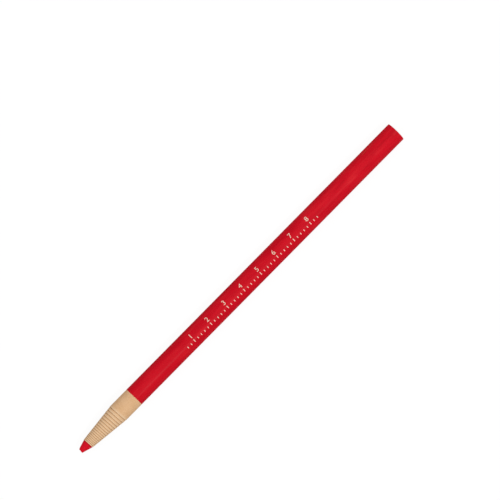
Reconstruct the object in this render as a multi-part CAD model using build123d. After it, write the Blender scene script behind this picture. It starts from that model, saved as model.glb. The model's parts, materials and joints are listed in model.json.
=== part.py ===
from build123d import *

import os
from itertools import accumulate

# China marker: a stick of wax inside a barrel of wound paper that peels off strip by strip.
# It lies along X on a flat surface at Z = 0, with its writing tip towards -X and its middle at X = 0.
# Sizes are millimetres. A station is a distance along the axis from the end of the writing tip.

# Barrel and wax
OVERALL_LENGTH = 172.0
BARREL_DIAMETER = 8.15
CORE_DIAMETER = 4.25

# Writing tip, the bare wax ahead of the paper
TIP_LENGTH = 4.0
TIP_FLAT_DIAMETER = 1.85
TIP_EDGE_RADIUS = 0.2

# Wound paper: each turn of a strip begins behind the turn that it covers, which makes a stepped cone
TURN_COUNT = 18
FIRST_TURN_WALL = 0.12
CONE_LENGTH = 16.0
# Each step of the cone is longer than the step inside it by this factor
STEP_RATIO = 1.05

# Barrel behind the cone: the bare band of the nose strip, equal coloured strips, and a tail to hold
BARE_BAND_LENGTH = 9.0
COLOURED_STRIP_COUNT = 13
TAIL_LENGTH = 26.0

# Pull string, bedded in a groove along the underside of the wax
STRING_DIAMETER = 0.45

# Clearances of a strip: round the wax, round the turns of the next strip, and along its slit
CORE_CLEARANCE = 0.04
TURN_CLEARANCE = 0.03
SLIT_WIDTH = 0.05
# Clearance of the string in its groove
STRING_CLEARANCE = 0.04

# Worked out from the sizes above
BARREL_RADIUS = BARREL_DIAMETER / 2
CORE_RADIUS = CORE_DIAMETER / 2
STRING_RADIUS = STRING_DIAMETER / 2
BORE_RADIUS = CORE_RADIUS + CORE_CLEARANCE
FIRST_TURN_RADIUS = BORE_RADIUS + FIRST_TURN_WALL
OUTER_TURN = TURN_COUNT - 1
COLOUR_START = TIP_LENGTH + CONE_LENGTH + BARE_BAND_LENGTH
COLOURED_STRIP_LENGTH = (OVERALL_LENGTH - TAIL_LENGTH - COLOUR_START) / COLOURED_STRIP_COUNT
TIP_PLACE = Pos(-OVERALL_LENGTH / 2, 0, BARREL_RADIUS)


def turn_edges():
    """Where each turn of a strip begins, innermost first, behind the beginning of the strip."""
    shares = [STEP_RATIO**step for step in range(OUTER_TURN)]
    return [0.0, *accumulate(CONE_LENGTH * share / sum(shares) for share in shares)]


def turn_radius(edge):
    """Outer radius of the turn that begins at this edge, on a straight cone up to the barrel."""
    return FIRST_TURN_RADIUS + (BARREL_RADIUS - FIRST_TURN_RADIUS) * edge / CONE_LENGTH


EDGES = turn_edges()
RADII = [turn_radius(edge) for edge in EDGES]


def turned(corners):
    """Solid of revolution about the marker's axis, from (station, radius) corners."""
    profile = make_face(Polyline(*corners, close=True))
    return TIP_PLACE * revolve(profile, Axis.X)


def rod(profile, begin, end):
    """Solid along the marker's axis between two stations, from a profile drawn across the axis."""
    return TIP_PLACE * Pos(begin, 0, 0) * extrude(Plane.YZ * profile, end - begin)


def cone_steps(start, first, last, bore):
    """Corners up the front of the turns from first to last of a strip that begins at start."""
    corners = []
    for turn in range(first, last + 1):
        inside = RADII[turn - 1] if turn else bore
        corners += [(start + EDGES[turn], inside), (start + EDGES[turn], RADII[turn])]
    return corners


def socket_steps(start, first, last):
    """Corners down the back of the turns before the strip that begins at start, around its cone."""
    corners = []
    for turn in range(last, first - 1, -1):
        slit = 0.0 if turn == OUTER_TURN else SLIT_WIDTH
        back = start + EDGES[turn] - slit
        outside = RADII[turn] if turn == last else RADII[turn] + TURN_CLEARANCE
        inside = RADII[turn - 1] + TURN_CLEARANCE if turn else BORE_RADIUS
        corners += [(back, outside), (back, inside)]
    if first:
        covered = start + EDGES[first - 1] - SLIT_WIDTH
        corners += [(covered, RADII[first - 1] + TURN_CLEARANCE), (covered, RADII[first - 1])]
    return corners


def strip_turns(start, length, first, last):
    """The turns from first to last of a strip that peels off, and adds its length to the barrel."""
    front = cone_steps(start, first, last, BORE_RADIUS)
    return turned(front + socket_steps(start + length, first, last))


def tail_turns(start, first, last):
    """The turns from first to last of the last piece, bonded to the wax and cut off square at the tail."""
    inside = RADII[first - 1] if first else CORE_RADIUS
    cut = [(OVERALL_LENGTH, RADII[last]), (OVERALL_LENGTH, inside)]
    return turned(cone_steps(start, first, last, CORE_RADIUS) + cut)


def string_profile(radius):
    """Circle across the axis where the string lies, its underside level with the surface of the wax."""
    return Pos(0, STRING_RADIUS - CORE_RADIUS) * Circle(radius)


def wax_core():
    """The wax stick, cut to a blunt cone at the tip, with the groove for the string."""
    stick = turned(
        [
            (0, 0),
            (0, TIP_FLAT_DIAMETER / 2),
            (TIP_LENGTH, CORE_RADIUS),
            (OVERALL_LENGTH, CORE_RADIUS),
            (OVERALL_LENGTH, 0),
        ]
    )
    stick = fillet(stick.edges().filter_by(GeomType.CIRCLE).sort_by(Axis.X)[0], TIP_EDGE_RADIUS)
    groove_radius = STRING_RADIUS + STRING_CLEARANCE
    mouth = Pos(0, -CORE_RADIUS) * Rectangle(2 * groove_radius, STRING_DIAMETER)
    groove = rod(string_profile(groove_radius) + mouth, TIP_LENGTH, OVERALL_LENGTH)
    return stick - groove


def pull_string():
    """The string that slits the paper when it is pulled, from the end of the paper to the tail."""
    return rod(string_profile(STRING_RADIUS), TIP_LENGTH, OVERALL_LENGTH)


def marker():
    """Every piece of the marker by name."""
    pieces = {"wax_core": wax_core(), "pull_string": pull_string()}
    pieces["peel_strip_01"] = strip_turns(TIP_LENGTH, BARE_BAND_LENGTH, 0, OUTER_TURN)
    start = TIP_LENGTH + BARE_BAND_LENGTH
    length = COLOURED_STRIP_LENGTH
    for number in range(2, COLOURED_STRIP_COUNT + 2):
        pieces[f"peel_strip_{number:02d}"] = strip_turns(start, length, 0, OUTER_TURN - 1)
        pieces[f"colour_band_{number:02d}"] = strip_turns(start, length, OUTER_TURN, OUTER_TURN)
        start += length
    pieces["tail_sleeve"] = tail_turns(start, 0, OUTER_TURN - 1)
    pieces["tail_colour_band"] = tail_turns(start, OUTER_TURN, OUTER_TURN)
    return pieces


os.makedirs("parts", exist_ok=True)
for name, piece in marker().items():
    export_step(piece, f"parts/{name}.step")
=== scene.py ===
import json
import math

import bpy
import numpy as np
from mathutils import Matrix, Vector


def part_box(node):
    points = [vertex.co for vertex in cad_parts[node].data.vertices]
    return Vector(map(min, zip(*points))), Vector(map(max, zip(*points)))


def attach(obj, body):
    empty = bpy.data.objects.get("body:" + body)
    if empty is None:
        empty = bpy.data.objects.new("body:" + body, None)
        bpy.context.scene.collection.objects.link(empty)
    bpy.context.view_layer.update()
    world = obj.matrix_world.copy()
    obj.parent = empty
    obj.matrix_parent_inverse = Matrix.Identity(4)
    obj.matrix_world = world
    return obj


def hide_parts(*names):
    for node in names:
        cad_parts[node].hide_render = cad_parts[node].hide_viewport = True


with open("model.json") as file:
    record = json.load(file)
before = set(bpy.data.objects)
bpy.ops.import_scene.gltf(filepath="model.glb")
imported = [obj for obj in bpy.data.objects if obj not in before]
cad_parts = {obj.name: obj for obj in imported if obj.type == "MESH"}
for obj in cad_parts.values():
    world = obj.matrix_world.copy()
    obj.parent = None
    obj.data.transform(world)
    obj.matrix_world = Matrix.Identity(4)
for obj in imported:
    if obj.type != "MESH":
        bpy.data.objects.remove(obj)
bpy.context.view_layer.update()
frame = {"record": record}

MM = 0.001

# Places along the marker, read from the frame
record = frame["record"]
barrel = next(mount for mount in record["mounts"] if mount["name"] == "barrel")
AXIS_Z = barrel["pos_m"][2]
BARREL_RADIUS = barrel["dims"]["r_mm"] * MM
SHOULDER_X = barrel["pos_m"][0] - barrel["dims"]["length_mm"] * MM / 2
TIP_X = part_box("wax_core")[0].x
TAIL_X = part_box("wax_core")[1].x
PAPER_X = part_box("peel_strip_01")[0].x
COLOUR_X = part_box("peel_strip_01")[1].x
STRIP_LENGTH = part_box("colour_band_02")[1].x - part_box("colour_band_02")[0].x
COLOURED_STRIPS = range(2, 15)

# Wax. Its rings lie at these shares of the tip's taper, and one lies further back
CORE_RADIUS = 2.125 * MM
TIP_FLAT_RADIUS = 0.925 * MM
TIP_EDGE_RADIUS = 0.2 * MM
TIP_SLANT = math.radians(5.6)
TAPER_RINGS = (0.3, 0.6, 1.0)
BACK_RING = 20 * MM
# Length of the painted shade on the wax in front of the paper
CREASE_SHADE_LENGTH = 0.4 * MM

# String, and the groove that is cut for it in the wax, open below
STRING_RADIUS = 0.225 * MM
STRING_Z = AXIS_Z - CORE_RADIUS + STRING_RADIUS
STRING_LAY = 1.4 * MM
GROOVE_CLEARANCE = 0.04 * MM
GROOVE_MOUTH = 1 * MM
GROOVE_OVERRUN = 2 * MM
# The hollows between the three plies: what has a lower cosine is drawn in to a share, in two goes
YARN_HOLLOWS = ((0.5, 0.86), (-0.5, 0.84))

# Wound paper. The winding begins and ends half a turn past the top, on the underside
CORE_CLEARANCE = 0.04 * MM
FIRST_TURN_WALL = 0.12 * MM
LAST_TURN = 17
HALF_TURN = 0.5
FIRST_TURN = -HALF_TURN
STEP_RATIO = 1.05
LAYER_GAP = 0.012 * MM
SLIT_WIDTH = 0.05 * MM
CUT_ROUNDING = 0.025 * MM
# How far the first and the last edge lie behind the two ends of the cone
NOSE_SETBACK = 0.22 * MM
SHOULDER_SETBACK = 0.20 * MM
# The cut edges waver in two waves, each a height, its radians to a turn and its shift
EDGE_WAVES = ((0.012 * MM, 7.3, 0.0), (0.010 * MM, 17.9, 1.0))
TAIL_WAVE = 0.01 * MM
TAIL_WAVE_RATE = 11.0
# The band in front of each edge that is darkened brown, partly a stain and partly painted shade where the
# next turn covers it, as a share of the step, at the nose and at the shoulder
NOSE_STAIN_AND_SHADE = 0.40
SHOULDER_STAIN_AND_SHADE = 0.22
# How far back each step is rubbed pale, partly wear and partly a painted highlight, and how much of each
# cut is brown at its inside, as shares
PALE_AND_LIT_SHARE = 0.4
BROWN_SHARE = 0.3

# Coloured paper. It begins on a cut that is a little out of square, and its ink stands just proud of it
COLOUR_SKEW = math.radians(1.2)
COLOUR_BEVEL = 0.08 * MM
COLOUR_SLIT = 0.005 * MM
TAIL_ROUNDING = 0.12 * MM
# A face whose normal leans further than this towards an end shows the cut paper
STEEPEST_RED = 0.2
STEEPEST_TAIL_RED = 0.8
INK_HEIGHT = 0.008 * MM
PAPER_RADIUS = BARREL_RADIUS - INK_HEIGHT
# Where it is rubbed: begin and end before the tail, angle from the top towards +Y, and half the width
SIDE_RUB = (16.6 * MM, 9.6 * MM, math.radians(51), 0.45 * MM)
END_RUB = (2.2 * MM, 0.0, 0.0, 0.8 * MM)
RUB_FADE = 1 * MM

# Fineness of the meshes, mostly in segments to a turn
TURN_SEGMENTS = 80
TUBE_SEGMENTS = 160
CORE_SEGMENTS = 96
GROOVE_SEGMENTS = 24
YARN_SEGMENTS = 12
ROUNDING_SEGMENTS = 5
TAIL_ROUNDING_SEGMENTS = 3
SECTION_ROWS = 13
MERGE_DISTANCE = 1e-6

# The plain scale printed on the barrel: one number to a strip. Its sizes are millimetres on the flat
NUMBERED_STRIPS = range(5, 13)
NUMBER_SIZE = 2.8
NUMBER_FOOT = 0.1
MARKS_EACH_SIDE = 2
MARK_SPACING = 1.8
MARK_WIDTH = 0.3
MARK_FOOT = -1.9
MARK_LENGTH = 0.8
LONG_MARK_LENGTH = 1.2
INK_DEPTH = 0.03
INK_SLICE = 0.2
INK_MERGE_DISTANCE = 1e-4

# Studio: the floor, the white all round as light and as it is seen, and lamps with place, width and watts
FLOOR_SIZE = 8.0
FLOOR_GREY = 0.55
FLOOR_GLOW = 1.1
FLOOR_GLOW_SHARE = 0.84
WORLD_LIGHT = 0.53
WORLD_SEEN = 0.99
OVERHEAD = ((0.0, 0.0, 1.6), 2.4, 13.6)
KEY = ((-0.09, -0.53, 1.09), 0.12, 2.6)

# The photograph: its size, its lens, and where the two ends of the marker's axis lie in it
PHOTO_SIZE = 500
LENS = 252.0
SENSOR = 36.0
CAMERA_LEAN = math.radians(3.05)
TIP_PIXEL = Vector((80.50, 451.24))
TAIL_PIXEL = Vector((396.02, 131.65))


# Modelling by hand

def deselect():
    bpy.ops.object.select_all(action="DESELECT")


def edit():
    bpy.ops.object.mode_set(mode="EDIT")


def leave_edit():
    bpy.ops.object.mode_set(mode="OBJECT")


def take(piece):
    """Makes this piece the only one that is selected."""
    deselect()
    piece.select_set(True)
    bpy.context.view_layer.objects.active = piece


def named(piece, name):
    piece.name = name
    piece.data.name = name
    return piece


def select_points(piece, test):
    """Selects the points that pass the test, with what lies between them. Begins and ends in edit mode."""
    bpy.ops.mesh.select_all(action="DESELECT")
    leave_edit()
    for point in piece.data.vertices:
        point.select = test(point.co)
    edit()
    bpy.ops.mesh.select_mode(type="VERT")


def close_and_turn_out():
    """Merges doubled points, fills open ends and points the faces outwards, in edit mode."""
    bpy.ops.mesh.select_all(action="SELECT")
    bpy.ops.mesh.remove_doubles(threshold=MERGE_DISTANCE)
    bpy.ops.mesh.fill_holes(sides=0)
    bpy.ops.mesh.select_all(action="SELECT")
    bpy.ops.mesh.normals_make_consistent(inside=False)


def smooth(piece, degrees):
    """Shades a piece smooth, apart from its edges that are sharper than this."""
    take(piece)
    bpy.ops.object.shade_smooth_by_angle(angle=math.radians(degrees))


def from_axis(point):
    """Distance of a point from the marker's axis."""
    return math.hypot(point.y, point.z - AXIS_Z)


def turned(name, outline, segments):
    """A round piece about the marker's axis: a circle, extruded and resized along (x, radius) corners."""
    deselect()
    x, radius = outline[0]
    bpy.ops.mesh.primitive_circle_add(
        vertices=segments, radius=radius, location=(x, 0, AXIS_Z), rotation=(0, math.pi / 2, 0)
    )
    piece = named(bpy.context.object, name)
    bpy.ops.object.transform_apply(location=True, rotation=True, scale=True)
    edit()
    bpy.ops.mesh.select_all(action="SELECT")
    for next_x, next_radius in outline[1:]:
        bpy.ops.mesh.extrude_region_move(TRANSFORM_OT_translate={"value": (next_x - x, 0, 0)})
        share = next_radius / radius
        bpy.ops.transform.resize(value=(1, share, share), center_override=(next_x, 0, AXIS_Z))
        x, radius = next_x, next_radius
    close_and_turn_out()
    leave_edit()
    return piece


def copied(piece, name, distance):
    """A copy of a piece, with a mesh of its own, further along the marker."""
    take(piece)
    bpy.ops.object.duplicate(linked=False)
    copy = named(bpy.context.object, name)
    edit()
    bpy.ops.mesh.select_all(action="SELECT")
    bpy.ops.transform.translate(value=(distance, 0, 0))
    leave_edit()
    return copy


def fit(piece, node):
    """The piece stands for a node of the frame, and moves with its body."""
    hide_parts(node)
    bodies = record["behaviour"]["bodies"]
    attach(piece, next(body for body, nodes in bodies.items() if node in nodes))


# Building materials

def material_tree(name):
    material = bpy.data.materials.new(name)
    material.use_nodes = True
    return material, material.node_tree, material.node_tree.nodes["Principled BSDF"]


def add(tree, kind, **settings):
    made = tree.nodes.new("ShaderNode" + kind)
    for key, value in settings.items():
        setattr(made, key, value)
    return made


def put(tree, value, socket):
    """Links a socket to another, or sets its value."""
    if isinstance(value, bpy.types.NodeSocket):
        tree.links.new(value, socket)
    else:
        socket.default_value = value


def calc(tree, operation, a, b=0.0):
    made = add(tree, "Math", operation=operation)
    put(tree, a, made.inputs[0])
    put(tree, b, made.inputs[1])
    return made.outputs[0]


def noise(tree, vector, scale, detail=3.0, stretch=(1, 1, 1)):
    mapping = add(tree, "Mapping")
    mapping.inputs["Scale"].default_value = stretch
    tree.links.new(vector, mapping.inputs["Vector"])
    made = add(tree, "TexNoise")
    made.inputs["Scale"].default_value = scale
    made.inputs["Detail"].default_value = detail
    tree.links.new(mapping.outputs[0], made.inputs["Vector"])
    return made.outputs["Fac"]


def span(tree, value, low, high, to_low=0.0, to_high=1.0):
    """Maps a value from one range to another, clamped."""
    made = add(tree, "MapRange")
    for socket, number in zip(made.inputs[1:5], (low, high, to_low, to_high)):
        socket.default_value = number
    tree.links.new(value, made.inputs[0])
    return made.outputs[0]


def blend_colour(tree, share, first, second):
    made = add(tree, "Mix", data_type="RGBA")
    put(tree, share, made.inputs[0])
    put(tree, first, made.inputs[6])
    put(tree, second, made.inputs[7])
    return made.outputs[2]


def bump(tree, shader, height, distance, strength):
    made = add(tree, "Bump")
    made.inputs["Strength"].default_value = strength
    made.inputs["Distance"].default_value = distance
    tree.links.new(height, made.inputs["Height"])
    tree.links.new(made.outputs[0], shader.inputs["Normal"])


def srgb(red, green, blue):
    """A colour as it is seen, from 0 to 255, as the linear values of a shader's socket."""
    shares = (channel / 255 for channel in (red, green, blue))
    return (*(s / 12.92 if s <= 0.04045 else ((s + 0.055) / 1.055) ** 2.4 for s in shares), 1.0)


# Colours

KRAFT_DARK = srgb(213, 168, 123)
KRAFT_LIGHT = srgb(225, 183, 139)
KRAFT_CLOUD = srgb(230, 191, 151)
KRAFT_THREAD = srgb(241, 214, 180)
KRAFT_FLECK = srgb(164, 116, 72)
# Pale of the cut edges, partly wear and partly a painted highlight
KRAFT_RUBBED_AND_LIT = srgb(236, 205, 168)
# Brown of the cut edges, and in front of each edge partly dirt and partly painted shade
KRAFT_STAIN_AND_SHADE = srgb(126, 78, 40)
CUT_DARK = srgb(224, 192, 150)
CUT_LIGHT = srgb(238, 210, 172)
RED_DARK = srgb(196, 8, 28)
RED_LIGHT = srgb(202, 10, 31)
RED_CLOUD = srgb(206, 16, 34)
# Painted light: a lighter red towards the tail
RED_PAINTED_LIGHT = srgb(212, 18, 36)
RED_DARK_STREAK = srgb(182, 6, 25)
RED_PALE_STREAK = srgb(216, 34, 43)
RED_PORE = srgb(178, 4, 24)
RED_SCRATCH = srgb(222, 58, 62)
RED_SIDE_RUB = srgb(194, 62, 48)
RED_END_RUB = srgb(212, 60, 62)
INK_WORN = srgb(232, 190, 172)
INK_FULL = srgb(244, 224, 202)
WAX_DARK = srgb(206, 9, 30)
WAX_LIGHT = srgb(217, 18, 40)
WAX_SCRATCH = srgb(224, 46, 58)
WAX_PIT = srgb(156, 4, 22)
# Painted shade on the wax where the paper begins
WAX_CREASE_SHADE = srgb(128, 10, 20)
COTTON_DARK = srgb(214, 204, 184)
COTTON_LIGHT = srgb(240, 234, 220)


# Finishes

def kraft_paper():
    """Bare tan paper with fibres along the winding, worn pale at each cut edge with a painted highlight on
    it, and darkened brown in front of it, partly dirt and partly painted shade where the next turn covers
    it.
    """
    material, tree, shader = material_tree("kraft_paper")
    rolled = add(tree, "UVMap", uv_map="UVMap").outputs[0]
    cut = add(tree, "Attribute", attribute_name="cut_shade").outputs["Fac"]
    fibres = noise(tree, rolled, scale=2.2, detail=4.0, stretch=(0.35, 3.0, 1.0))
    threads = noise(tree, rolled, scale=9.0, stretch=(0.15, 1.6, 1.0))
    flecks = noise(tree, rolled, scale=6.0, detail=2.0, stretch=(0.45, 1.5, 1.0))
    cloud = noise(tree, rolled, scale=0.35)
    colour = blend_colour(tree, span(tree, fibres, 0.3, 0.7), KRAFT_DARK, KRAFT_LIGHT)
    colour = blend_colour(tree, span(tree, cloud, 0.35, 0.65, 0.0, 0.35), colour, KRAFT_CLOUD)
    colour = blend_colour(tree, span(tree, threads, 0.58, 0.70, 0.0, 0.45), colour, KRAFT_THREAD)
    colour = blend_colour(tree, span(tree, flecks, 0.66, 0.74, 0.0, 0.55), colour, KRAFT_FLECK)
    # Pale where the cut shade is below nought: partly wear, partly a painted highlight on each cut edge
    rubbed_and_lit = span(tree, cut, 0.0, -1.0)
    colour = blend_colour(tree, rubbed_and_lit, colour, KRAFT_RUBBED_AND_LIT)
    uneven = span(tree, fibres, 0.25, 0.75, 0.75, 1.0)
    # Brown where the cut shade is above nought: the cut edges, and in front of each edge a band that is
    # partly dirt and partly painted shade
    stained_and_shaded = calc(tree, "MULTIPLY", span(tree, cut, 0.0, 1.0), uneven)
    colour = blend_colour(tree, stained_and_shaded, colour, KRAFT_STAIN_AND_SHADE)
    tree.links.new(colour, shader.inputs["Base Color"])
    shader.inputs["Roughness"].default_value = 0.85
    shader.inputs["Specular IOR Level"].default_value = 0.1
    grain = calc(tree, "ADD", fibres, calc(tree, "MULTIPLY", threads, 0.5))
    bump(tree, shader, grain, distance=0.02 * MM, strength=0.6)
    return material


def cut_paper():
    """The pale edge of coloured paper that has been cut through."""
    material, tree, shader = material_tree("cut_paper")
    place = add(tree, "TexCoord").outputs["Object"]
    grain = noise(tree, place, scale=6000)
    colour = blend_colour(tree, span(tree, grain, 0.3, 0.7), CUT_DARK, CUT_LIGHT)
    tree.links.new(colour, shader.inputs["Base Color"])
    shader.inputs["Roughness"].default_value = 0.9
    shader.inputs["Specular IOR Level"].default_value = 0.1
    return material


def rub(tree, place, begin, end, angle, half_width):
    """How much the colour is worn at a mark along the barrel, from its distances before the tail."""
    axes = add(tree, "SeparateXYZ")
    tree.links.new(place, axes.inputs[0])
    x, y, z = axes.outputs
    round_barrel = calc(tree, "ARCTAN2", y, calc(tree, "SUBTRACT", z, AXIS_Z))
    off_line = calc(tree, "ABSOLUTE", calc(tree, "SUBTRACT", round_barrel, angle))
    first_x = TAIL_X - begin
    last_x = TAIL_X - end
    share = span(tree, off_line, 0.0, half_width / BARREL_RADIUS, 1.0, 0.0)
    share = calc(tree, "MULTIPLY", share, span(tree, x, first_x, first_x + RUB_FADE))
    share = calc(tree, "MULTIPLY", share, span(tree, x, last_x - RUB_FADE, last_x, 1.0, 0.0))
    patches = span(tree, noise(tree, place, scale=1800, detail=2.0), 0.35, 0.6)
    return calc(tree, "MULTIPLY", share, patches)


def red_paper():
    """Red glazed paper under a thin satin coat, with painted light making it lighter towards the tail, and
    with soft streaks and rubs.
    """
    material, tree, shader = material_tree("red_paper")
    place = add(tree, "TexCoord").outputs["Object"]
    fibres = noise(tree, place, scale=1500, detail=4.0, stretch=(0.12, 1, 1))
    tooth = noise(tree, place, scale=7000)
    scratches = noise(tree, place, scale=4200, detail=2.0, stretch=(0.03, 1, 1))
    cloud = noise(tree, place, scale=240, stretch=(0.5, 1, 1))
    streaks = noise(tree, place, scale=600, stretch=(0.15, 1, 1))
    axes = add(tree, "SeparateXYZ")
    tree.links.new(place, axes.inputs[0])
    handled = span(tree, axes.outputs[0], COLOUR_X, TAIL_X, 0.4, 1.0)
    # Painted light: the red is lighter towards the tail
    tail_light = span(tree, axes.outputs[0], 0.0, TAIL_X, 0.0, 0.6)
    colour = blend_colour(tree, span(tree, fibres, 0.3, 0.7), RED_DARK, RED_LIGHT)
    colour = blend_colour(tree, span(tree, cloud, 0.35, 0.65, 0.0, 0.6), colour, RED_CLOUD)
    colour = blend_colour(tree, tail_light, colour, RED_PAINTED_LIGHT)
    dark = calc(tree, "MULTIPLY", span(tree, streaks, 0.48, 0.32, 0.0, 0.6), handled)
    colour = blend_colour(tree, dark, colour, RED_DARK_STREAK)
    pale = calc(tree, "MULTIPLY", span(tree, streaks, 0.54, 0.70, 0.0, 0.65), handled)
    colour = blend_colour(tree, pale, colour, RED_PALE_STREAK)
    colour = blend_colour(tree, span(tree, tooth, 0.36, 0.26, 0.0, 0.5), colour, RED_PORE)
    colour = blend_colour(tree, span(tree, scratches, 0.64, 0.72, 0.0, 0.3), colour, RED_SCRATCH)
    side_rub = calc(tree, "MULTIPLY", rub(tree, place, *SIDE_RUB), 0.8)
    colour = blend_colour(tree, side_rub, colour, RED_SIDE_RUB)
    end_rub = calc(tree, "MULTIPLY", rub(tree, place, *END_RUB), 0.6)
    colour = blend_colour(tree, end_rub, colour, RED_END_RUB)
    tree.links.new(colour, shader.inputs["Base Color"])
    tree.links.new(span(tree, cloud, 0.3, 0.7, 0.5, 0.6), shader.inputs["Roughness"])
    shader.inputs["Specular IOR Level"].default_value = 0.0
    shader.inputs["Coat Weight"].default_value = 0.1
    shader.inputs["Coat Roughness"].default_value = 0.33
    shader.inputs["Coat IOR"].default_value = 1.5
    raised = calc(tree, "ADD", fibres, calc(tree, "MULTIPLY", tooth, 0.6))
    bump(tree, shader, calc(tree, "SUBTRACT", raised, scratches), distance=0.008 * MM, strength=0.5)
    return material


def cream_ink():
    """Cream printing ink, thin enough to let a little of the red through."""
    material, tree, shader = material_tree("cream_ink")
    place = add(tree, "TexCoord").outputs["Object"]
    wear = noise(tree, place, scale=5000)
    colour = blend_colour(tree, span(tree, wear, 0.35, 0.65), INK_WORN, INK_FULL)
    tree.links.new(colour, shader.inputs["Base Color"])
    shader.inputs["Roughness"].default_value = 0.6
    shader.inputs["Specular IOR Level"].default_value = 0.1
    return material


def red_wax():
    """Dense red wax with fine scratches and pits, and a dark band of painted shade where the paper begins.
    """
    material, tree, shader = material_tree("red_wax")
    place = add(tree, "TexCoord").outputs["Object"]
    cloud = noise(tree, place, scale=900, detail=4.0)
    scratch = noise(tree, place, scale=2500, stretch=(0.15, 1, 1))
    pits = noise(tree, place, scale=6000, detail=2.0)
    colour = blend_colour(tree, span(tree, cloud, 0.3, 0.7), WAX_DARK, WAX_LIGHT)
    colour = blend_colour(tree, span(tree, scratch, 0.60, 0.72, 0.0, 0.4), colour, WAX_SCRATCH)
    colour = blend_colour(tree, span(tree, pits, 0.34, 0.26, 0.0, 0.6), colour, WAX_PIT)
    axes = add(tree, "SeparateXYZ")
    tree.links.new(place, axes.inputs[0])
    # Painted shade: the wax is darkened just in front of the paper's edge
    crease_shade = span(tree, axes.outputs[0], PAPER_X - CREASE_SHADE_LENGTH, PAPER_X, 0.0, 0.45)
    colour = blend_colour(tree, crease_shade, colour, WAX_CREASE_SHADE)
    tree.links.new(colour, shader.inputs["Base Color"])
    tree.links.new(span(tree, scratch, 0.35, 0.65, 0.42, 0.58), shader.inputs["Roughness"])
    shader.inputs["Specular IOR Level"].default_value = 0.06
    relief = calc(tree, "ADD", scratch, span(tree, pits, 0.24, 0.36, 0.0, 0.6))
    bump(tree, shader, relief, distance=0.02 * MM, strength=0.5)
    return material


def cotton():
    """Off-white cotton yarn."""
    material, tree, shader = material_tree("cotton")
    place = add(tree, "TexCoord").outputs["Object"]
    fluff = noise(tree, place, scale=9000)
    colour = blend_colour(tree, span(tree, fluff, 0.3, 0.7), COTTON_DARK, COTTON_LIGHT)
    tree.links.new(colour, shader.inputs["Base Color"])
    shader.inputs["Roughness"].default_value = 0.95
    shader.inputs["Specular IOR Level"].default_value = 0.1
    bump(tree, shader, fluff, distance=0.02 * MM, strength=0.6)
    return material


KRAFT = kraft_paper()
CUT = cut_paper()
RED = red_paper()
INK = cream_ink()
WAX = red_wax()
COTTON = cotton()


# Wax and string

def wax_core():
    """The wax stick with its blunt, slightly slanted tip and the groove for the string below."""
    taper = PAPER_X - TIP_X
    widening = CORE_RADIUS - TIP_FLAT_RADIUS
    outline = [(TIP_X, TIP_FLAT_RADIUS / 2), (TIP_X, TIP_FLAT_RADIUS)]
    outline += [(TIP_X + share * taper, TIP_FLAT_RADIUS + share * widening) for share in TAPER_RINGS]
    outline += [(PAPER_X + BACK_RING, CORE_RADIUS), (TAIL_X, CORE_RADIUS)]
    core = turned("wax_core.stick", outline, CORE_SEGMENTS)

    # The rim is rounded to its radius, which takes off less on a cone than on a square corner
    edit()
    close = TIP_FLAT_RADIUS / 100
    select_points(core, lambda p: p.x < TIP_X + close and from_axis(p) > TIP_FLAT_RADIUS - close)
    slope = math.atan2(widening, taper)
    reach = TIP_EDGE_RADIUS * math.tan((math.pi / 2 - slope) / 2)
    bpy.ops.mesh.bevel(offset=reach, segments=ROUNDING_SEGMENTS, affect="EDGES")

    # The flat and its rounding lean back from their -Y side
    select_points(core, lambda p: p.x < TIP_X + 1.1 * reach)
    foremost = (TIP_X, -TIP_FLAT_RADIUS, AXIS_Z)
    bpy.ops.transform.rotate(value=TIP_SLANT, orient_axis="Z", center_override=foremost)
    leave_edit()

    cutter = groove_cutter()
    cut = core.modifiers.new("groove", "BOOLEAN")
    cut.object = cutter
    cut.solver = "EXACT"
    take(core)
    bpy.ops.object.modifier_apply(modifier="groove")
    bpy.data.objects.remove(cutter)
    smooth(core, 35)
    core.data.materials.append(WAX)
    fit(core, "wax_core")


def groove_cutter():
    """A rod along the string's place, drawn down past the surface of the wax."""
    length = TAIL_X - PAPER_X + GROOVE_OVERRUN
    deselect()
    bpy.ops.mesh.primitive_cylinder_add(
        vertices=GROOVE_SEGMENTS,
        radius=STRING_RADIUS + GROOVE_CLEARANCE,
        depth=length,
        location=(PAPER_X + length / 2, 0, STRING_Z),
        rotation=(0, math.pi / 2, 0),
    )
    cutter = named(bpy.context.object, "groove_cutter")
    bpy.ops.object.transform_apply(location=True, rotation=True, scale=True)
    edit()
    select_points(cutter, lambda p: p.z < STRING_Z - GROOVE_CLEARANCE / 10)
    bpy.ops.transform.translate(value=(0, 0, -GROOVE_MOUTH))
    leave_edit()
    return cutter


def pull_string():
    """Three-ply yarn: a clover section twisted along its length."""
    length = TAIL_X - PAPER_X
    deselect()
    bpy.ops.mesh.primitive_circle_add(
        vertices=YARN_SEGMENTS, radius=STRING_RADIUS, rotation=(0, math.pi / 2, 0)
    )
    yarn = named(bpy.context.object, "pull_string.yarn")
    bpy.ops.object.transform_apply(location=True, rotation=True, scale=True)
    edit()
    for cosine, share in YARN_HOLLOWS:
        select_points(yarn, lambda p: math.cos(3 * math.atan2(p.z, p.y)) < cosine)
        bpy.ops.transform.resize(value=(1, share, share), center_override=(0, 0, 0))
    leave_edit()
    twist = yarn.modifiers.new("twist", "SCREW")
    twist.axis = "X"
    twist.angle = 2 * math.pi
    twist.iterations = round(length / STRING_LAY)
    twist.screw_offset = length / twist.iterations
    twist.steps = YARN_SEGMENTS
    twist.render_steps = YARN_SEGMENTS
    bpy.ops.object.modifier_apply(modifier="twist")
    edit()
    close_and_turn_out()
    bpy.ops.transform.translate(value=(PAPER_X, 0, STRING_Z))
    leave_edit()
    smooth(yarn, 60)
    yarn.data.materials.append(COTTON)
    fit(yarn, "pull_string")


# Wound paper

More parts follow.
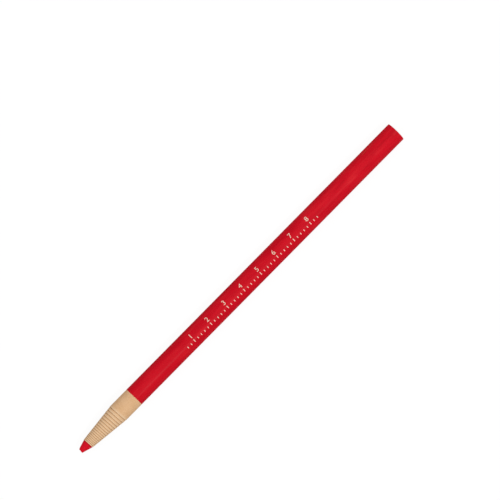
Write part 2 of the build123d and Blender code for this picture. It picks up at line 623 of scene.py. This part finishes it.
def cone_share(turn):
    """How far up the cone the edge of the paper is at each turn, from 0 at the wax to 1 at the barrel."""
    return (STEP_RATIO**turn - 1) / (STEP_RATIO**LAST_TURN - 1)


def edge_x(turn):
    """Where the front edge of the nose strip lies along the marker at each turn, with a slight waver."""
    nose = PAPER_X + NOSE_SETBACK
    shoulder = SHOULDER_X + SHOULDER_SETBACK
    waver = sum(height * np.sin(rate * turn + shift) for height, rate, shift in EDGE_WAVES)
    return nose + (shoulder - nose) * cone_share(turn) + waver


def turn_radius(turn, limit):
    """Outside of the winding at each turn: a straight cone, up to a limit."""
    first = CORE_RADIUS + CORE_CLEARANCE + FIRST_TURN_WALL
    return np.minimum(first + (BARREL_RADIUS - first) * cone_share(turn), limit)


def under_colour():
    """Outside of the last tan turn under the colour."""
    return float(turn_radius(LAST_TURN - 1, BARREL_RADIUS))


def wound_paper(name, shift, last_turn, limit, bore, back):
    """A ribbon of paper rolled up so that each turn begins behind the one that it covers.

    A flat grid is rolled up along its length. It has one row for each corner of the ribbon's section.
    """
    columns = round((last_turn - FIRST_TURN) * TURN_SEGMENTS)
    deselect()
    bpy.ops.mesh.primitive_grid_add(x_subdivisions=columns, y_subdivisions=SECTION_ROWS, size=2)
    piece = named(bpy.context.object, name)
    mesh = piece.data
    flat = np.empty(3 * len(mesh.vertices))
    mesh.vertices.foreach_get("co", flat)
    flat = flat.reshape(-1, 3)
    turn = FIRST_TURN + (last_turn - FIRST_TURN) * (flat[:, 0] + 1) / 2
    row = np.rint((flat[:, 1] + 1) / 2 * SECTION_ROWS).astype(int)

    front = edge_x(turn) + shift
    rear = back(turn)
    covered = np.minimum(edge_x(turn + 1) + shift, rear - 4 * CUT_ROUNDING)
    outside = turn_radius(turn, limit)
    inside = np.where(turn < FIRST_TURN + 1, bore, turn_radius(turn - 1, limit) + LAYER_GAP)
    # Behind each front edge the paper is pale, partly wear and partly a painted highlight
    pale_and_lit_end = front + PALE_AND_LIT_SHARE * (covered - front)
    brown_end = inside + BROWN_SHARE * (outside - inside)
    soft = 0.3 * CUT_ROUNDING
    # The band in front of each edge is darkened, partly dirt and partly painted shade, wherever a further
    # turn covers the edge
    stained_and_shaded = np.where(turn + 1 > last_turn, 0.0, 1.0)
    stain_and_shade_share = NOSE_STAIN_AND_SHADE + (SHOULDER_STAIN_AND_SHADE - NOSE_STAIN_AND_SHADE) * cone_share(turn)
    stain_and_shade_width = stain_and_shade_share * (edge_x(turn + 1) - edge_x(turn))
    # Each corner has a place, a radius and a shade, from -1 for rubbed pale with a painted highlight to 1
    # for stained brown, which in front of each edge is partly painted shade
    section = [
        (front, inside, 0.8),
        (front, outside - CUT_ROUNDING, 0.4),
        (front + soft, outside - soft, -0.3),
        (front + CUT_ROUNDING, outside, -0.8),
        (pale_and_lit_end, outside, -0.4),
        (covered - stain_and_shade_width, outside, 0.0),
        (covered - stain_and_shade_width / 2, outside, 0.4 * stained_and_shaded),
        (covered, outside, stained_and_shaded),
        (rear - CUT_ROUNDING, outside, stained_and_shaded),
        (rear - soft, outside - soft, 0.8),
        (rear, outside - CUT_ROUNDING, 0.35),
        (rear, brown_end, 0.35),
        (rear, inside, 0.8),
        (front, inside, 0.8),
    ]
    points = np.arange(len(turn))
    tables = [np.stack([corner[i] + 0 * turn for corner in section]) for i in range(3)]
    x, radius, shade = (table[row, points] for table in tables)
    angle = 2 * math.pi * turn
    rolled = np.stack([x, -radius * np.sin(angle), AXIS_Z + radius * np.cos(angle)], axis=1)
    mesh.vertices.foreach_set("co", rolled.ravel())
    mesh.attributes.new("cut_shade", "FLOAT", "POINT").data.foreach_set("value", shade)

    corner_point = np.empty(len(mesh.loops), dtype=int)
    mesh.loops.foreach_get("vertex_index", corner_point)
    along = angle * (CORE_RADIUS + BARREL_RADIUS) / 2 / MM
    across = (x - PAPER_X) / MM
    unrolled = np.stack([along, across], axis=1)[corner_point]
    mesh.uv_layers["UVMap"].data.foreach_set("uv", unrolled.ravel())

    edit()
    close_and_turn_out()
    leave_edit()
    smooth(piece, 40)
    mesh.materials.append(KRAFT)
    return piece


def nose_strip():
    """The bare strip at the nose, wound out to the barrel. Its outermost turn ends along the colour."""

    def back(turn):
        across = -BARREL_RADIUS * np.sin(2 * math.pi * turn)
        inner = edge_x(turn) + COLOUR_X - SHOULDER_X - SLIT_WIDTH
        return np.where(turn > LAST_TURN - HALF_TURN, COLOUR_X - math.tan(COLOUR_SKEW) * across, inner)

    bore = CORE_RADIUS + CORE_CLEARANCE
    strip = wound_paper("peel_strip_01.wound", 0.0, LAST_TURN + HALF_TURN, PAPER_RADIUS, bore, back)
    fit(strip, "peel_strip_01")


def inner_strip():
    """The tan turns of the first coloured strip, which show when the strip in front is off."""
    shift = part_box("peel_strip_02")[0].x - PAPER_X

    def back(turn):
        return edge_x(turn) + shift + STRIP_LENGTH - SLIT_WIDTH

    bore = CORE_RADIUS + CORE_CLEARANCE
    limit = under_colour() - LAYER_GAP
    return wound_paper("peel_strip_02.wound", shift, LAST_TURN - HALF_TURN, limit, bore, back)


def tail_sleeve():
    """The tan turns of the tail, bonded to the wax and cut off square at the end."""
    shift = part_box("tail_sleeve")[0].x - PAPER_X

    def back(turn):
        return TAIL_X - TAIL_WAVE * (1 + np.sin(TAIL_WAVE_RATE * turn))

    bore = CORE_RADIUS + LAYER_GAP
    limit = under_colour() - LAYER_GAP
    sleeve = wound_paper("tail_sleeve.wound", shift, LAST_TURN - HALF_TURN, limit, bore, back)
    fit(sleeve, "tail_sleeve")


# Coloured paper

def colour_band(node, front, rear, steepest=STEEPEST_RED):
    """One red band: a thin tube between two ends, each a list of (x, radius) from bore to surface."""
    outline = front + rear[::-1] + front[:1]
    band = turned(node + ".tube", outline, TUBE_SEGMENTS)
    band.data.materials.append(RED)
    band.data.materials.append(CUT)
    red, cut = range(2)
    for face in band.data.polygons:
        outward = Vector((0, face.center.y, face.center.z - AXIS_Z)).dot(face.normal)
        face.material_index = red if outward > 0 and abs(face.normal.x) < steepest else cut
    smooth(band, 15)
    return band


def square_end(x):
    """A plain cut through the paper."""
    return [(x, under_colour()), (x, PAPER_RADIUS)]


def first_band():
    """The band next to the bare paper: its front edge is shaved thin and runs a little out of square."""
    low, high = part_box("colour_band_02")
    shaved = [
        (low.x, under_colour()),
        (low.x, PAPER_RADIUS - COLOUR_BEVEL / 4),
        (low.x + COLOUR_BEVEL, PAPER_RADIUS),
    ]
    band = colour_band("colour_band_02", shaved, square_end(high.x - COLOUR_SLIT))
    take(band)
    edit()
    select_points(band, lambda p: p.x < low.x + 2 * COLOUR_BEVEL)
    bpy.ops.transform.rotate(value=-COLOUR_SKEW, orient_axis="Z", center_override=(low.x, 0, AXIS_Z))
    leave_edit()
    fit(band, "colour_band_02")


def tail_band():
    """The last band, with its rim a little rounded where the marker is cut off."""
    low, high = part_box("tail_colour_band")
    rim = [(high.x, under_colour())]
    for step in range(TAIL_ROUNDING_SEGMENTS + 1):
        angle = math.pi / 2 * step / TAIL_ROUNDING_SEGMENTS
        x = high.x - TAIL_ROUNDING * (1 - math.cos(angle))
        rim.append((x, PAPER_RADIUS - TAIL_ROUNDING * (1 - math.sin(angle))))
    band = colour_band("tail_colour_band", square_end(low.x), rim, STEEPEST_TAIL_RED)
    fit(band, "tail_colour_band")


def scale_print(number, middle):
    """A stretch of the plain scale: a number over its long mark, between short marks, as ink on the barrel.

    It is drawn flat in millimetres, sliced so that it can curve, and rolled round the top of the barrel.
    """
    deselect()
    bpy.ops.object.text_add(location=(0, NUMBER_FOOT, 0))
    bpy.context.object.data.body = str(number)
    bpy.context.object.data.size = NUMBER_SIZE
    bpy.context.object.data.align_x = "CENTER"
    bpy.context.object.data.extrude = INK_DEPTH / 2
    bpy.ops.object.convert(target="MESH")
    ink = named(bpy.context.object, f"scale_print_{number}")
    bpy.ops.object.transform_apply(location=True, rotation=True, scale=True)
    edit()
    bpy.ops.mesh.select_all(action="SELECT")
    bpy.ops.mesh.beautify_fill()
    for place in range(-MARKS_EACH_SIDE, MARKS_EACH_SIDE + 1):
        length = MARK_LENGTH if place else LONG_MARK_LENGTH
        bpy.ops.mesh.primitive_cube_add(
            size=1,
            location=(place * MARK_SPACING, MARK_FOOT + length / 2, 0),
            scale=(MARK_WIDTH, length, INK_DEPTH),
        )
    for level in np.arange(MARK_FOOT + INK_SLICE, NUMBER_FOOT + NUMBER_SIZE, INK_SLICE):
        bpy.ops.mesh.select_all(action="SELECT")
        bpy.ops.mesh.bisect(plane_co=(0, level, 0), plane_no=(0, 1, 0))
    bpy.ops.mesh.select_all(action="SELECT")
    bpy.ops.mesh.remove_doubles(threshold=INK_MERGE_DISTANCE)
    bpy.ops.mesh.normals_make_consistent(inside=False)
    leave_edit()
    for point in ink.data.vertices:
        angle = point.co.y * MM / BARREL_RADIUS
        radius = BARREL_RADIUS + (point.co.z - INK_DEPTH / 2) * MM
        point.co = (middle + point.co.x * MM, radius * math.sin(angle), AXIS_Z + radius * math.cos(angle))
    ink.data.materials.clear()
    ink.data.materials.append(INK)
    return ink


def print_on(band, ink):
    """Joins the ink to the band that carries it."""
    take(band)
    ink.select_set(True)
    bpy.ops.object.join()


def coloured_strips():
    """The coloured strips: the turns and the plain band are modelled once and copied down the barrel."""
    first_band()
    turns = inner_strip()
    turns_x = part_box("peel_strip_02")[0].x
    low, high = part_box("colour_band_03")
    plain = colour_band("colour_band_03", square_end(low.x), square_end(high.x - COLOUR_SLIT))
    for number in reversed(COLOURED_STRIPS[1:]):
        strip_node = f"peel_strip_{number:02d}"
        band_node = f"colour_band_{number:02d}"
        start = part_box(band_node)[0].x
        strip = copied(turns, strip_node + ".wound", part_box(strip_node)[0].x - turns_x)
        band = plain if start == low.x else copied(plain, band_node + ".tube", start - low.x)
        if number in NUMBERED_STRIPS:
            print_on(band, scale_print(number - NUMBERED_STRIPS[0] + 1, start + STRIP_LENGTH / 2))
        fit(strip, strip_node)
        fit(band, band_node)
    fit(turns, "peel_strip_02")


wax_core()
pull_string()
nose_strip()
coloured_strips()
tail_sleeve()
tail_band()


# Studio: floor, light and camera

def seen_directly(tree):
    """One for what the camera sees, also in gloss and through glass, and nought for light on things."""
    path = add(tree, "LightPath")
    seen = calc(tree, "MAXIMUM", path.outputs["Is Camera Ray"], path.outputs["Is Glossy Ray"])
    return calc(tree, "MAXIMUM", seen, path.outputs["Is Transmission Ray"])


def studio_floor():
    """A pale floor that looks white and keeps the marker's shadow."""
    deselect()
    bpy.ops.mesh.primitive_plane_add(size=FLOOR_SIZE)
    floor = named(bpy.context.object, "floor")
    material, tree, shader = material_tree("white_floor")
    shader.inputs["Base Color"].default_value = (FLOOR_GREY, FLOOR_GREY, FLOOR_GREY, 1.0)
    shader.inputs["Roughness"].default_value = 0.9
    shader.inputs["Specular IOR Level"].default_value = 0.0
    glow = add(tree, "Emission")
    glow.inputs["Strength"].default_value = FLOOR_GLOW
    both = add(tree, "MixShader")
    tree.links.new(calc(tree, "MULTIPLY", seen_directly(tree), FLOOR_GLOW_SHARE), both.inputs[0])
    tree.links.new(shader.outputs[0], both.inputs[1])
    tree.links.new(glow.outputs[0], both.inputs[2])
    tree.links.new(both.outputs[0], tree.nodes["Material Output"].inputs["Surface"])
    floor.data.materials.append(material)


def studio_world():
    """White all round for the camera, and a softer level for the light that it gives."""
    world = bpy.data.worlds.new("studio")
    world.use_nodes = True
    bpy.context.scene.world = world
    tree = world.node_tree
    background = tree.nodes["Background"]
    background.inputs["Color"].default_value = (1.0, 1.0, 1.0, 1.0)
    level = span(tree, seen_directly(tree), 0.0, 1.0, WORLD_LIGHT, WORLD_SEEN)
    tree.links.new(level, background.inputs["Strength"])


def soft_light(name, location, size, power):
    """A square lamp that faces the marker."""
    light = bpy.data.lights.new(name, "AREA")
    light.size = size
    light.energy = power
    lamp = bpy.data.objects.new(name, light)
    bpy.context.scene.collection.objects.link(lamp)
    lamp.location = location
    lamp.rotation_euler = (-Vector(location)).to_track_quat("-Z", "Y").to_euler()


def photo_camera():
    """A long lens above the marker, leaning towards its tip, so that both ends fall on their pixels."""
    focal = LENS / SENSOR * PHOTO_SIZE
    middle = Vector((PHOTO_SIZE / 2, PHOTO_SIZE / 2))
    flip = Vector((1, -1))
    tip = (TIP_PIXEL - middle) * flip
    tail = (TAIL_PIXEL - middle) * flip
    length = TAIL_X - TIP_X

    # The ends of the axis are run apart across the view, and the tail is further off than the tip by fall
    run = length * math.cos(CAMERA_LEAN)
    fall = length * math.sin(CAMERA_LEAN)
    apart = tail - tip
    gain = apart.dot(apart)
    slip = fall * apart.dot(tail)
    rest = fall**2 * tail.dot(tail) - (focal * run) ** 2
    depth = (-slip + math.sqrt(slip**2 - gain * rest)) / gain
    heading = apart * depth + tail * fall
    roll = math.atan2(heading.y, heading.x)

    back = Vector((-math.sin(CAMERA_LEAN), 0, math.cos(CAMERA_LEAN)))
    along = Vector((math.cos(CAMERA_LEAN), 0, math.sin(CAMERA_LEAN)))
    across = back.cross(along)
    right = math.cos(roll) * along - math.sin(roll) * across
    up = math.sin(roll) * along + math.cos(roll) * across
    tip_point = Vector((TIP_X, 0, AXIS_Z))
    eye = tip_point + back * depth - (right * tip.x + up * tip.y) * depth / focal

    data = bpy.data.cameras.new("photo_camera")
    data.lens = LENS
    data.sensor_width = SENSOR
    data.clip_start = 0.01
    data.clip_end = 100.0
    camera = bpy.data.objects.new("photo_camera", data)
    bpy.context.scene.collection.objects.link(camera)
    camera.matrix_world = Matrix.Translation(eye) @ Matrix((right, up, back)).transposed().to_4x4()
    bpy.context.scene.camera = camera


studio_floor()
studio_world()
soft_light("overhead", *OVERHEAD)
soft_light("key", *KEY)
photo_camera()
bpy.context.scene.view_settings.view_transform = "Standard"
